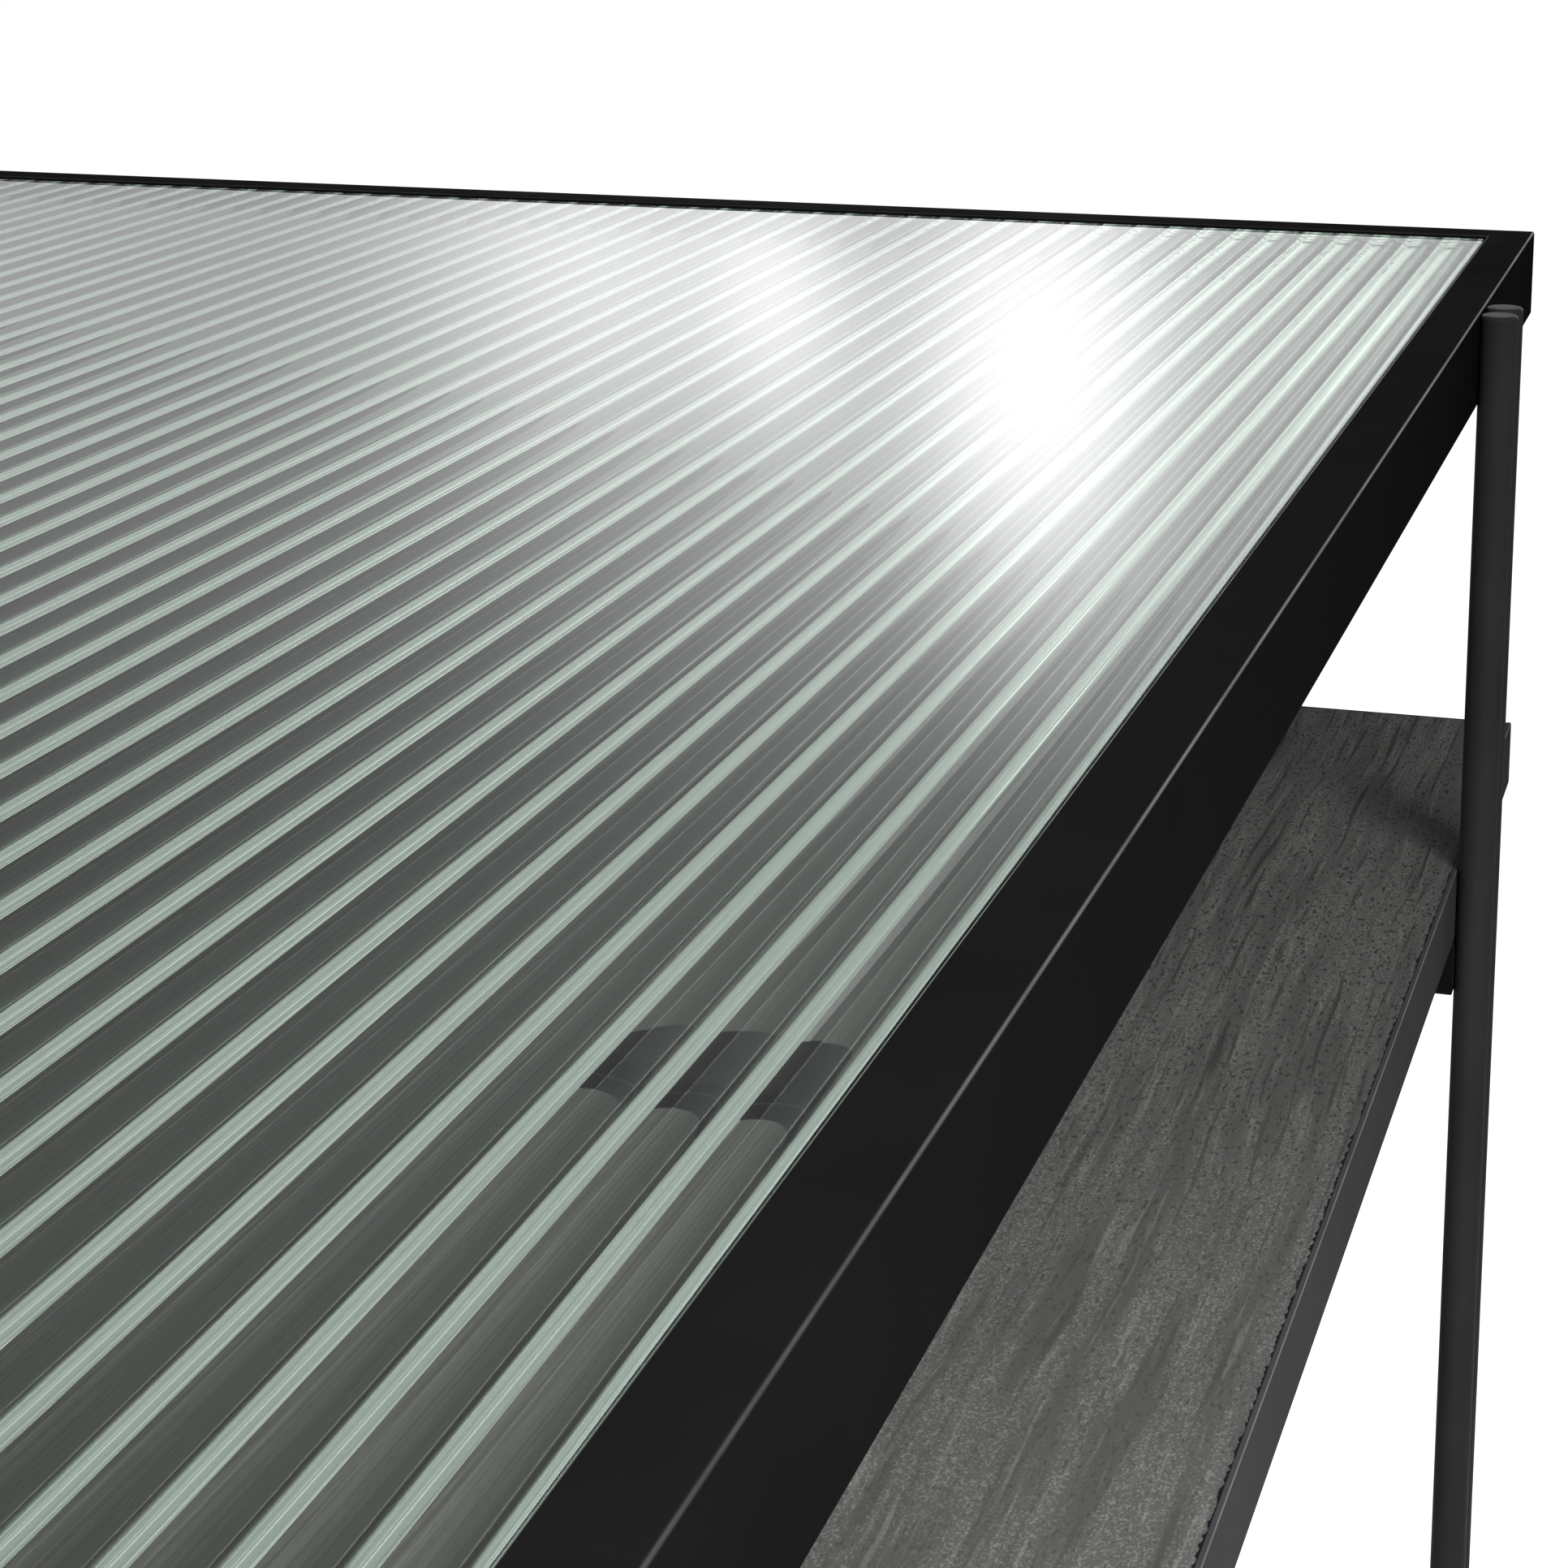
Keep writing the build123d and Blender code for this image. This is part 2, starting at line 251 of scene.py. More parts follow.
class Effects:
    """The shared surface effects, each built once."""

    def __init__(self) -> None:
        """Builds every effect."""
        self.drift = self._drift()
        self.grit = self._grit()
        self.edge_highlight_masks = self._edge_highlight_masks()
        self.grain = self._grain()

    @staticmethod
    def _drift() -> Tree:
        """Builds slow drift: a colour and a roughness that wander across a surface.

        Returns:
            The effect.
        """
        group, given, out = start_group(
            "slow_drift",
            {
                "Vector": "Vector",
                "Scale": "Float",
                "Colour A": "Color",
                "Colour B": "Color",
                "Rough A": "Float",
                "Rough B": "Float",
            },
            {"Colour": "Color", "Roughness": "Float"},
        )
        noise = {"Vector": given["Vector"], "Scale": given["Scale"], "Detail": 4.0}
        wander = add_node(group, "TexNoise", noise).outputs[0]
        colour = tint(group, ramp(group, wander, 0.3, 0.7), given["Colour A"], given["Colour B"])
        rough = ramp(group, wander, 0.35, 0.65, given["Rough A"], given["Rough B"])
        fill(group, out, {"Colour": colour, "Roughness": rough})
        return group

    @staticmethod
    def _grit() -> Tree:
        """Builds fine grit: the pebbled height of sprayed powder, moulded plastic or rubber.

        Returns:
            The effect.
        """
        group, given, out = start_group(
            "fine_grit", {"Vector": "Vector", "Scale": "Float", "Sharpness": "Float"}, {"Height": "Float"}
        )
        where = {"Vector": given["Vector"], "Scale": given["Scale"]}
        pebbles = add_node(group, "TexVoronoi", where | {"Smoothness": 0.6}, feature="SMOOTH_F1").outputs[0]
        haze = add_node(group, "TexNoise", where | {"Detail": 2.0}).outputs[0]
        height = add_node(group, "Mix", {0: given["Sharpness"], 2: haze, 3: pebbles}, data_type="FLOAT")
        fill(group, out, {"Height": height.outputs[0]})
        return group

    @staticmethod
    def _edge_highlight_masks() -> Tree:
        """Builds edge masks: a square piece's rounded edges, uneven in patches, which take a glossy coat,
        and the upper ones among them, which take a lighter colour as a painted highlight.

        Returns:
            The effect.
        """
        group, given, out = start_group(
            "edge_rub", {"Vector": "Vector", "Normal": "Vector"}, {"Rubbed": "Float", "Polished": "Float"}
        )
        parts = add_node(group, "SeparateXYZ", {0: given["Normal"]}).outputs
        sizes = [calc(group, "ABSOLUTE", parts[axis]) for axis in range(3)]
        flat = calc(group, "MAXIMUM", calc(group, "MAXIMUM", sizes[0], sizes[1]), sizes[2])
        round_part = ramp(group, flat, SQUARE, 0.8)
        upward = ramp(group, parts[2], 0.1, 0.5)
        patches = cloud(group, given["Vector"], (30.0, 30.0, 30.0), 4.0)
        uneven = ramp(group, patches, 0.3, 0.7, 0.6, 1.0)
        polished = calc(group, "MULTIPLY", round_part, uneven)
        # Upper rounded edges only: the lighter colour painted there is a painted highlight; all rounded
        # edges take the glossy coat.
        fill(group, out, {"Rubbed": calc(group, "MULTIPLY", polished, upward), "Polished": polished})
        return group

    @staticmethod
    def _grain() -> Tree:
        """Builds wood grain along X: soft bands, bright flecks, dark and pale streaks and pressed pores.

        Returns:
            The effect.
        """
        group, given, out = start_group(
            "long_grain",
            {"Vector": "Vector", "Light": "Color", "Dark": "Color", "Pore": "Color"},
            {"Colour": "Color", "Height": "Float", "Roughness": "Float"},
        )
        place = given["Vector"]
        sway = ramp(group, cloud(group, place, (6.0, 18.0, 18.0)), 0.2, 0.8, -0.003, 0.003)
        shift = add_node(group, "CombineXYZ", {"Y": sway}).outputs[0]
        swayed = add_node(group, "VectorMath", {0: place, 1: shift}, operation="ADD").outputs[0]

        bands = Marks((9.0, 140.0, 140.0), 0.38, 0.58).mask(group, swayed)
        fibres = Marks((1300.0, 1900.0, 1900.0), 0.5, 0.64).mask(group, place)
        streaks = Marks((14.0, 460.0, 460.0), 0.44, 0.34).mask(group, swayed)
        pale = Marks((26.0, 640.0, 640.0), 0.56, 0.72, offset=(7.0, 3.0, 0.0)).mask(group, swayed)
        pores = Marks((420.0, 1100.0, 1100.0), 0.43, 0.33, 2.0, (2.0, 5.0, 0.0)).mask(group, swayed)

        # How much of each kind of mark shows.
        fleck_share, band_share, pale_share, streak_share, pore_share = 0.65, 0.14, 0.4, 0.6, 0.8
        flecks = calc(group, "MULTIPLY", fibres, ramp(group, bands, 0.0, 1.0, 0.15, 1.0))
        tone = calc(group, "MULTIPLY_ADD", flecks, fleck_share, calc(group, "MULTIPLY", bands, band_share))
        paled = calc(group, "MULTIPLY_ADD", pale, pale_share, tone, clamp=True)
        # Pores and dark streaks grow stronger from the board's middle towards both ends, so it is darker
        # there.
        off_middle = calc(group, "ABSOLUTE", add_node(group, "SeparateXYZ", {0: place}).outputs[0])
        ends_stronger = ramp(group, off_middle, 0.15, 0.5, 0.35, 1.0)
        dips = (calc(group, "MULTIPLY", streaks, streak_share), calc(group, "MULTIPLY", pores, pore_share))
        sunk = calc(group, "MULTIPLY", calc(group, "MAXIMUM", *dips), ends_stronger)
        colour = tint(group, sunk, tint(group, paled, given["Dark"], given["Light"]), given["Pore"])
        height = calc(group, "SUBTRACT", calc(group, "MULTIPLY", paled, 0.5), sunk)
        raised = calc(group, "MULTIPLY_ADD", height, 0.5, 0.5)
        rough = ramp(group, sunk, 0.0, 1.0, 0.55, 0.8)
        fill(group, out, {"Colour": colour, "Height": raised, "Roughness": rough})
        return group


# --- Finishes ---


def start_material(name: str) -> tuple:
    """Makes a material with a fresh Principled shader.

    Args:
        name: The material's name.

    Returns:
        The material, its tree, its Principled node and its Object coordinates socket.
    """
    material = bpy.data.materials.new(name)
    material.use_nodes = True
    tree = material.node_tree
    tree.nodes.clear()
    shader = add_node(tree, "BsdfPrincipled")
    add_node(tree, "OutputMaterial", {"Surface": shader.outputs[0]})
    return material, tree, shader, add_node(tree, "TexCoord").outputs["Object"]


def add_bump(tree: Tree, shader: Node, height: Socket, depth: float) -> None:
    """Feeds a height into a shader's normal.

    Args:
        tree: The material's tree.
        shader: The shader to bump.
        height: The height, from 0 to 1.
        depth: What a height of 1 is worth, in metres.
    """
    bump = add_node(tree, "Bump", {"Height": height, "Distance": depth, "Strength": 1.0})
    fill(tree, shader, {"Normal": bump.outputs[0]})


def place_drift(
    tree: Tree,
    effects: Effects,
    place: Socket,
    scale: float,
    colours: Sequence[Colour],
    roughness: Sequence[float],
) -> dict[str, Socket]:
    """Places slow drift in a material.

    Args:
        tree: The material's tree.
        effects: The shared effects.
        place: The coordinates.
        scale: Cells per metre.
        colours: The two colours that it wanders between.
        roughness: The two roughnesses.

    Returns:
        The drifting base colour and roughness, by the names of the shader's inputs.
    """
    values = {"Vector": place, "Scale": scale}
    for letter, colour, rough in zip("AB", colours, roughness):
        values |= {f"Colour {letter}": colour, f"Rough {letter}": rough}
    drift = place_group(tree, effects.drift, values).outputs
    return {"Base Color": drift["Colour"], "Roughness": drift["Roughness"]}


def resurface(tree: Tree, surface: Socket) -> None:
    """Links another shader to a material's output."""
    output = next(n for n in tree.nodes if n.type == "OUTPUT_MATERIAL")
    fill(tree, output, {"Surface": surface})


@dataclass(frozen=True)
class Sprayed:
    """A pebbled single-colour finish: powder coat, moulded plastic, rubber or plating, on some with a
    lighter colour painted on its upper rounded edges as a painted highlight.
    """

    name: str
    colour_a: Colour
    colour_b: Colour
    rough_a: float
    rough_b: float
    grit_scale: float
    grit_depth: float
    grit_sharpness: float = 0.5
    specular: float = 0.5
    metallic: float = 0.0
    drift_scale: float = 22.0
    # The colour of the painted highlight on the upper rounded edges, or none.
    rubbed: Colour | None = None
    polish: float = 0.3

    def build(self, effects: Effects) -> Material:
        """Builds the material.

        Args:
            effects: The shared effects.

        Returns:
            The material.
        """
        material, tree, shader, place = start_material(self.name)
        colours, roughness = (self.colour_a, self.colour_b), (self.rough_a, self.rough_b)
        look = place_drift(tree, effects, place, self.drift_scale, colours, roughness)
        # Painted highlight: the upper rounded edges are tinted lighter; all rounded edges also get a glossy
        # coat.
        if self.rubbed:
            normal = add_node(tree, "NewGeometry").outputs["Normal"]
            edge_highlight_masks = place_group(tree, effects.edge_highlight_masks, {"Vector": place, "Normal": normal}).outputs
            look["Base Color"] = tint(tree, edge_highlight_masks["Rubbed"], look["Base Color"], self.rubbed)
            look |= {"Coat Weight": edge_highlight_masks["Polished"], "Coat Roughness": self.polish}
        fill(tree, shader, look | {"Specular IOR Level": self.specular, "Metallic": self.metallic})
        pebbles = {"Vector": place, "Scale": self.grit_scale, "Sharpness": self.grit_sharpness}
        grit = place_group(tree, effects.grit, pebbles)
        add_bump(tree, shader, grit.outputs["Height"], self.grit_depth)
        return material


@dataclass(frozen=True)
class ReededGlass:
    """Toughened glass, faintly green, with faint wipe marks."""

    name: str = "ribbed_glass"
    colour: Colour = (0.86, 0.90, 0.86, 1.0)
    shade: Colour = (0.38, 0.36, 0.33, 1.0)
    index: float = 1.5
    clean: float = 0.015
    wiped: float = 0.04
    smear_scale: float = 9.0
    smear_stretch: Sequence[float] = (0.35, 1.0, 1.0)

    def build(self, effects: Effects) -> Material:
        """Builds the material. Lamp light passes through it, dimmed, and lights what lies below.

        Args:
            effects: The shared effects.

        Returns:
            The material.
        """
        material, tree, shader, place = start_material(self.name)
        along_ribs = add_node(tree, "Mapping", {"Vector": place, "Scale": self.smear_stretch}).outputs[0]
        colours, roughness = (self.colour, self.colour), (self.clean, self.wiped)
        smear = place_drift(tree, effects, along_ribs, self.smear_scale, colours, roughness)
        fill(tree, shader, {"Roughness": smear["Roughness"], "Base Color": self.colour})
        fill(tree, shader, {"IOR": self.index, "Transmission Weight": 1.0})
        shadow_ray = add_node(tree, "LightPath").outputs["Is Shadow Ray"]
        clear = add_node(tree, "BsdfTransparent", {"Color": self.shade}).outputs[0]
        mix = add_node(tree, "MixShader", {0: shadow_ray, 1: shader.outputs[0], 2: clear})
        resurface(tree, mix.outputs[0])
        return material


@dataclass(frozen=True)
class GrainedFacing:
    """Charcoal wood-grain facing, with a dark ragged glue line where it meets the edge band."""

    name: str
    light: Colour
    dark: Colour
    pore: Colour
    depth: float
    half_length: float
    half_width: float
    glue: Colour = grey(0.006)
    glue_width: float = 0.35 * MM
    chip_scale: float = 420.0
    specular: float = 0.03

    def build(self, effects: Effects) -> Material:
        """Builds the material.

        Args:
            effects: The shared effects.

        Returns:
            The material.
        """
        material, tree, shader, place = start_material(self.name)
        tones = {"Light": self.light, "Dark": self.dark, "Pore": self.pore}
        grain = place_group(tree, effects.grain, {"Vector": place} | tones)
        colour = tint(tree, self._glue_mask(tree, place), grain.outputs["Colour"], self.glue)
        fill(tree, shader, {"Base Color": colour, "Roughness": grain.outputs["Roughness"]})
        fill(tree, shader, {"Specular IOR Level": self.specular})
        add_bump(tree, shader, grain.outputs["Height"], self.depth)
        return material

    def _glue_mask(self, tree: Tree, place: Socket) -> Socket:
        """Masks the facing's outermost edge, where small chips show the glue.

        Args:
            tree: The material's tree.
            place: Object coordinates.

        Returns:
            The mask.
        """
        parts = add_node(tree, "SeparateXYZ", {0: place}).outputs
        chips = cloud(tree, place, (self.chip_scale, self.chip_scale, 1.0), 3.0)
        reach = ramp(tree, chips, 0.35, 0.72, 0.4 * self.glue_width, 2.4 * self.glue_width)
        masks = []
        for axis, half in ((0, self.half_length), (1, self.half_width)):
            left = calc(tree, "SUBTRACT", half, calc(tree, "ABSOLUTE", parts[axis]))
            masks.append(calc(tree, "LESS_THAN", left, reach))
        return calc(tree, "MAXIMUM", *masks)


@dataclass(frozen=True)
class WeldBead:
    """Painted weld bead, rippled across its length."""

    name: str = "painted_weld"
    colour: Colour = (0.012, 0.012, 0.0125, 1.0)
    scorched: Colour = grey(0.02)
    roughness: Sequence[float] = (0.4, 0.6)
    drift_scale: float = 300.0
    ripple_pitch: float = 1.6 * MM
    ripple_depth: float = 0.25 * MM

    def build(self, effects: Effects) -> Material:
        """Builds the material.

        Args:
            effects: The shared effects.

        Returns:
            The material.
        """
        material, tree, shader, place = start_material(self.name)
        colours = (self.colour, self.scorched)
        fill(tree, shader, place_drift(tree, effects, place, self.drift_scale, colours, self.roughness))
        # A wave texture repeats every pi / 10 of its own length.
        scale = math.pi / 10 / self.ripple_pitch
        waves = {"Vector": place, "Scale": scale, "Distortion": 2.0, "Detail": 2.0}
        ripple = add_node(tree, "TexWave", waves, bands_direction="Z")
        add_bump(tree, shader, ripple.outputs["Fac"], self.ripple_depth)
        return material


# --- Mesh helpers ---


def everything(bm: BMesh) -> list:
    """Lists all that a mesh holds."""
    return list(bm.verts) + list(bm.edges) + list(bm.faces)


def verts_of(geometry: Iterable) -> list[BMVert]:
    """Picks the vertices out of what an operator gives back."""
    return [g for g in geometry if isinstance(g, BMVert)]


def turn_fully(bm: BMesh, centre: Sequence[float], steps: int) -> None:
    """Turns half a section all the way round an upright axis.

    Args:
        bm: The mesh in progress.
        centre: A point on the axis.
        steps: How many steps a turn has.
    """
    bmesh.ops.spin(
        bm, geom=everything(bm), cent=centre, axis=(0, 0, 1), angle=math.tau, steps=steps, use_merge=True
    )
    bmesh.ops.remove_doubles(bm, verts=bm.verts, dist=DOUBLE)


def draw_out(bm: BMesh, faces: Iterable[BMFace], way: Sequence[float]) -> None:
    """Draws flat faces out into a solid.

    Args:
        bm: The mesh in progress.
        faces: The faces.
        way: How far they are drawn.
    """
    drawn = bmesh.ops.extrude_face_region(bm, geom=faces)
    bmesh.ops.translate(bm, verts=verts_of(drawn["geom"]), vec=way)
    bmesh.ops.recalc_face_normals(bm, faces=bm.faces)


def sink(bm: BMesh, face: BMFace, wall: float, way: Sequence[float]) -> None:
    """Sinks a pocket into a face and leaves a wall round it.

    Args:
        bm: The mesh in progress.
        face: The face.
        wall: The wall's thickness.
        way: How far the pocket's floor moves.
    """
    bmesh.ops.inset_region(bm, faces=[face], thickness=wall)
    floor = bmesh.ops.extrude_discrete_faces(bm, faces=[face])["faces"][0]
    bmesh.ops.translate(bm, verts=floor.verts, vec=way)


def stand_rod(bm: BMesh, foot: Vector, radius: float, height: float, segments: int) -> None:
    """Adds an upright round rod that stands on a point.

    Args:
        bm: The mesh in progress.
        foot: The point.
        radius: The rod's radius.
        height: Its height.
        segments: The sides of its section.
    """
    bmesh.ops.create_cone(
        bm,
        cap_ends=True,
        segments=segments,
        radius1=radius,
        radius2=radius,
        depth=height,
        matrix=Matrix.Translation(foot + Vector((0, 0, height / 2))),
    )


def moved_box(bm: BMesh, low: Vector, high: Vector) -> list[BMVert]:
    """Adds a box between two corners to a mesh.

    Args:
        bm: The mesh in progress.
        low: The low corner.
        high: The high corner.

    Returns:
        The box's vertices.
    """
    size = high - low
    fit = Matrix.Translation((low + high) / 2) @ Matrix.Diagonal((*size, 1.0))
    return bmesh.ops.create_cube(bm, size=1.0, matrix=fit)["verts"]


def along(edge: BMEdge, axis: int) -> bool:
    """Tells whether an edge runs along that axis."""
    run = edge.verts[1].co - edge.verts[0].co
    return abs(run[axis]) > 0.999 * run.length


def round_over(bm: BMesh, edges: Iterable[BMEdge], radius: float, segments: int) -> None:
    """Rounds edges over with a true radius.

    Args:
        bm: The mesh in progress.
        edges: The edges.
        radius: The radius.
        segments: The steps across each.
    """
    bmesh.ops.bevel(
        bm,
        geom=list(edges),
        offset=radius,
        offset_type="OFFSET",
        segments=segments,
        profile=0.5,
        affect="EDGES",
        material=-1,
    )


def smooth_with_creases(bm: BMesh, crease_degrees: float) -> None:
    """Shades a mesh smooth and keeps its sharper corners crisp.

    Args:
        bm: The mesh in progress.
        crease_degrees: Corners sharper than this stay crisp.
    """
    limit = math.radians(crease_degrees)
    for face in bm.faces:
        face.smooth = True
    for edge in bm.edges:
        edge.smooth = len(edge.link_faces) == 2 and edge.calc_face_angle(0.0) < limit


def finished(
    name: str,
    bm: BMesh,
    material: Material,
    slot: Slot,
    body: Body,
    nodes: Sequence[str],
    crease_degrees: float = CREASE_DEGREES,
) -> None:
    """Turns a mesh in progress into a finished piece.

    Args:
        name: The piece's name.
        bm: The mesh, in place in the table's frame. It is freed.
        material: The piece's finish.
        slot: The record's slot for that finish. Not used.
        body: The body that the piece rides on.
        nodes: The frame's nodes that it stands for.
        crease_degrees: Corners sharper than this stay crisp.
    """
    smooth_with_creases(bm, crease_degrees)
    mesh = bpy.data.meshes.new(name)
    bm.to_mesh(mesh)
    bm.free()
    mesh.materials.append(material)
    piece = bpy.data.objects.new(name, mesh)
    bpy.context.scene.collection.objects.link(piece)
    evened = piece.modifiers.new("evened_normals", "WEIGHTED_NORMAL")
    evened.keep_sharp = True
    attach(piece, body.value)
    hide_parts(*nodes)
    log.info("%s: %d faces, stands for %s", name, len(mesh.polygons), ", ".join(nodes))


def dress_node(node: str, material: Material) -> None:
    """Gives one of the frame's own nodes its finish.

    Args:
        node: The node's name.
        material: Its finish.
    """
    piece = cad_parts[node]
    piece.data.materials.clear()
    piece.data.materials.append(material)
    log.info("%s: keeps its own shape", node)


# --- Sub-assemblies ---


@dataclass
class TopFrame:
    """The four mitred rails and the plugs in their vent holes."""

    coat: Material
    plastic: Material
    edge_radius: float = 0.8 * MM
    edge_segments: int = 5
    plug_radius: float = 6.0 * MM
    plug_dome: float = 1.6 * MM
    plug_stem_radius: float = 4.0 * MM
    plug_dome_steps: int = 10
    plug_segments: int = 48

    def build(self) -> None:
        """Builds the rails and the plugs."""
        for side in Side:
            self._rail(f"long_rail_{side.name.lower()}", run_axis=0, outward=Vector((0, side.value, 0)))
        for end in End:
            self._rail(f"end_rail_{end.name.lower()}", run_axis=1, outward=Vector((end.value, 0, 0)))
        self._plugs()

    def _rail(self, node: str, run_axis: int, outward: Vector) -> None:
        """Builds one rail: a box, its long edges rounded, cut to a mitre at both ends.

        Args:
            node: The rail's node.
            run_axis: The axis that it runs along.
            outward: The way that its outer face looks.
        """
        low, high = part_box(node)
        bm = bmesh.new()
        moved_box(bm, low, high)
        round_over(bm, [e for e in bm.edges if along(e, run_axis)], self.edge_radius, self.edge_segments)
        run = Vector((0, 0, 0))
        run[run_axis] = 1.0
        middle, half = (low + high) / 2, (high - low) / 2
        for end in (-1, 1):
            corner = middle + run * (end * half[run_axis]) + outward * half[1 - run_axis]
            cut = bmesh.ops.bisect_plane(
                bm,
                geom=everything(bm),
                plane_co=corner,
                plane_no=run * end - outward,
                clear_outer=True,
            )
            rim = [g for g in cut["geom_cut"] if isinstance(g, BMEdge)]
            bmesh.ops.edgeloop_fill(bm, edges=rim)
        bmesh.ops.recalc_face_normals(bm, faces=bm.faces)
        finished(f"{node}_coated", bm, self.coat, Slot.POWDER_COAT, Body.TABLE, [node])

    def _plugs(self) -> None:
        """Builds the domed plugs by turning half a section, one plug at each vent."""
        low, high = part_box("rail_vent_plugs")
        face = low.z + self.plug_dome
        bm = bmesh.new()
        swell = (self.plug_radius**2 + self.plug_dome**2) / (2 * self.plug_dome)
        tip = bm.verts.new((0, 0, -self.plug_dome))
        dome = bmesh.ops.spin(
            bm,
            geom=[tip],
            cent=(0, 0, swell - self.plug_dome),
            axis=(0, -1, 0),
            angle=math.asin(self.plug_radius / swell),
            steps=self.plug_dome_steps,
        )
        rim = verts_of(dome["geom_last"])[0]
        lip = bmesh.ops.extrude_vert_indiv(bm, verts=[rim])["verts"][0]
        lip.co = Vector((self.plug_stem_radius, 0, 0))
        stem = bmesh.ops.extrude_vert_indiv(bm, verts=[lip])["verts"][0]
        stem.co.z = high.z - face
        turn_fully(bm, (0, 0, 0), self.plug_segments)
        bmesh.ops.edgeloop_fill(bm, edges=[e for e in bm.edges if e.is_boundary])
        bmesh.ops.recalc_face_normals(bm, faces=bm.faces)
        stand_at_corners(bm, high.x - self.plug_radius, high.y - self.plug_radius, face)
        finished("rail_vent_plugs_moulded", bm, self.plastic, Slot.PLASTIC, Body.TABLE, ["rail_vent_plugs"])


def stand_at_corners(bm: BMesh, x: float, y: float, z: float) -> None:
    """Copies what a mesh holds, built about the origin, to the four corners (+-x, +-y) at height z.

    Args:
        bm: The mesh in progress.
        x: The corners' distance from the middle along X.
        y: The same along Y.
        z: Their height.
    """
    first = everything(bm)
    for sx, sy in ((1, -1), (-1, 1), (-1, -1)):
        copy = bmesh.ops.duplicate(bm, geom=first)
        bmesh.ops.translate(bm, verts=verts_of(copy["geom"]), vec=(sx * x, sy * y, z))
    bmesh.ops.translate(bm, verts=verts_of(first), vec=(x, y, z))


@dataclass
class GlassTop:
    """The pane: polished flat top, eased edges, and a row of round reeds along its underside."""

    glass: Material
    rib_pitch: float = 10.6 * MM
    rib_depth: float = 1.4 * MM
    rib_steps: int = 16
    arris: float = 0.6 * MM
    end_arris: float = 0.5 * MM
    arris_segments: int = 2
    crease_degrees: float = 24.0

    def build(self) -> None:
        """Builds the pane: one reed, repeated across the width, closed above and drawn out along X."""
        low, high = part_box("glass_pane")
        width = high.y - low.y
        count = round(width / self.rib_pitch)
        pitch = width / count
        valley = low.z + self.rib_depth
        radius = (pitch * pitch / 4 + self.rib_depth**2) / (2 * self.rib_depth)
        half_turn = math.asin(pitch / 2 / radius)

        bm = bmesh.new()
        start = bm.verts.new((low.x, low.y, valley))
        bmesh.ops.spin(
            bm,
            geom=[start],
            cent=(low.x, low.y + pitch / 2, low.z + radius),
            axis=(1, 0, 0),
            angle=2 * half_turn,
            steps=self.rib_steps,
        )
        reed = everything(bm)
        for rib in range(1, count):
            copy = bmesh.ops.duplicate(bm, geom=reed)
            bmesh.ops.translate(bm, verts=verts_of(copy["geom"]), vec=(0, rib * pitch, 0))
        bmesh.ops.remove_doubles(bm, verts=bm.verts, dist=TOUCHING)

        first = min(bm.verts, key=lambda v: v.co.y)
        last = max(bm.verts, key=lambda v: v.co.y)
        corners = [bm.verts.new((low.x, v.co.y, high.z)) for v in (first, last)]
        bm.edges.new((first, corners[0]))
        bm.edges.new((corners[0], corners[1]))
        bm.edges.new((corners[1], last))
        end = bmesh.ops.edgeloop_fill(bm, edges=bm.edges)["faces"]
        draw_out(bm, end, (high.x - low.x, 0, 0))
        rim = [e for e in bm.edges if all(abs(v.co.z - high.z) < TOUCHING for v in e.verts)]
        round_over(bm, rim, self.arris, self.arris_segments)
        ribs = [e for e in bm.edges if all(v.co.z < valley + TOUCHING for v in e.verts)]
        rib_ends = []
        for x in (low.x, high.x):
            ends = [e for e in ribs if all(abs(v.co.x - x) < TOUCHING for v in e.verts)]
            rib_ends.extend(ends)
        round_over(bm, rib_ends, self.end_arris, self.arris_segments)
        rides = (Slot.GLASS, Body.GLASS, ["glass_pane"])
        finished("glass_pane_reeded", bm, self.glass, *rides, self.crease_degrees)


@dataclass
class GlassSupports:
    """The tabs welded inside the long rails, with a soft pad on each."""

    coat: Material
    silicone: Material
    tip_steps: int = 24
    tab_edge: float = 0.4 * MM
    pad_edge: float = 0.5 * MM
    edge_segments: int = 3

    def build(self) -> None:
        """Builds a tab and a pad at each of the six places."""
        for support in Support:
            for side in Side:
                spot = f"{side.name.lower()}_{support.value}"
                tab = f"glass_support_tab_{spot}"
                pad = f"glass_support_pad_{spot}"
                self._tongue(tab, side, self.tab_edge, self.coat, Slot.POWDER_COAT)
                self._tongue(pad, side, self.pad_edge, self.silicone, Slot.SILICONE)

    def _tongue(self, node: str, side: Side, edge: float, material: Material, slot: Slot) -> None:
        """Builds a flat tongue with a half-round tip towards the table's middle.

        Args:
            node: The tongue's node, whose box it fills.
            side: The long side that its root is on.
            edge: The radius of its rounded edges.
            material: Its finish.
            slot: The record's slot.
        """
        low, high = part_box(node)
        radius = (high.x - low.x) / 2
        root = high.y if side is Side.BACK else low.y
        tip_centre = low.y + radius if side is Side.BACK else high.y - radius
        bm = bmesh.new()
        start = bm.verts.new((low.x, tip_centre, low.z))
        turn = math.pi if side is Side.BACK else -math.pi
        tip = bmesh.ops.spin(
            bm,
            geom=[start],
            cent=((low.x + high.x) / 2, tip_centre, low.z),
            axis=(0, 0, 1),
            angle=turn,
            steps=self.tip_steps,
        )
        finish = verts_of(tip["geom_last"])[0]
        near = bm.verts.new((low.x, root, low.z))
        far = bm.verts.new((high.x, root, low.z))
        for pair in ((start, near), (near, far), (far, finish)):
            bm.edges.new(pair)
        plate = bmesh.ops.edgeloop_fill(bm, edges=bm.edges)["faces"]
        draw_out(bm, plate, (0, 0, high.z - low.z))
        round_over(bm, [e for e in bm.edges if not along(e, 2)], edge, self.edge_segments)
        finished(f"{node}_shaped", bm, material, slot, Body.TABLE, [node])


